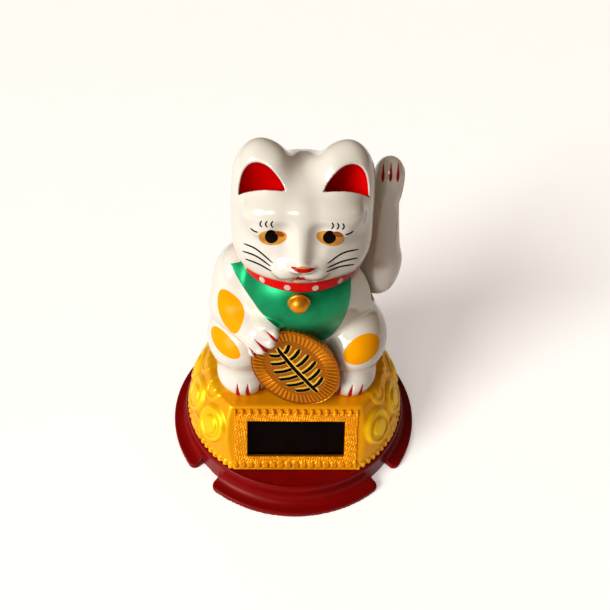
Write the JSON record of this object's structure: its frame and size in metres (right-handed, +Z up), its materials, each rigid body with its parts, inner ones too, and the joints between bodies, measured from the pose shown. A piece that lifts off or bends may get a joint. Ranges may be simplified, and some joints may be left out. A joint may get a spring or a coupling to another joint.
{
  "type": "solar beckoning cat figurine",
  "caption": "Seated white cat with one raised swinging arm, holding a gold coin, on a round gold pedestal with a slanted solar window and a notched red base.",
  "frame": {"origin": "centre of the base's underside, on the surface that the figurine stands on", "axes": "+Z up, +X to a viewer's right when the cat is seen from the front, so the cat faces -Y"},
  "size_m": [0.095, 0.095, 0.1256],
  "materials": {
    "body_white": "glossy sprayed white",
    "base_red": "semi-gloss moulded red",
    "pedestal_gold": "gold paint over moulded plastic, grained on the front frame",
    "coin_gold": "gold paint with black in the relief",
    "bell_gold": "gold paint",
    "cell_glass": "dark red-brown amorphous silicon behind glass",
    "board_green": "solder resist",
    "chip_black": "black epoxy or sleeve",
    "nylon": "natural nylon",
    "copper": "enamelled copper wire",
    "steel": "zinc-plated",
    "magnet": "nickel-plated",
    "lead_red": "PVC insulation",
    "lead_black": "PVC insulation",
    "paint_green": "pearl green paint",
    "paint_red": "gloss red paint",
    "paint_yellow": "gloss yellow paint",
    "paint_black": "thin black paint",
    "paint_amber": "amber eye paint",
    "paint_pink": "pale pink paint"
  },
  "bodies": {
    "figure": {"base_tray": "base_red", "base_screw_1": "steel", "base_screw_2": "steel", "base_screw_3": "steel", "pedestal_shell": "pedestal_gold", "solar_cell": "cell_glass", "circuit_board": "board_green", "board_screw_1": "steel", "board_screw_2": "steel", "driver_chip": "chip_black", "storage_capacitor": "chip_black", "coil_bobbin": "nylon", "drive_coil": "copper", "cell_lead_red": "lead_red", "cell_lead_black": "lead_black", "body_front_shell": "body_white", "body_rear_shell": "body_white", "body_screw_1": "steel", "body_screw_2": "steel", "body_screw_3": "steel", "coin": "coin_gold", "bell": "bell_gold", "pivot_frame": "nylon", "frame_screw_1": "steel", "frame_screw_2": "steel"},
    "arm": {"arm_inner_half": "body_white", "arm_outer_half": "body_white", "arm_axle": "steel", "pendulum_lever": "nylon", "counterweight": "steel", "lever_magnet": "magnet"}
  },
  "joints": [
    {"name": "arm_swing", "type": "hinge", "parent": "figure", "child": "arm", "pos_m": [0.024, 0.007, 0.069], "axis": [1, 0, 0], "range_deg": [-15, 15]}
  ]
}
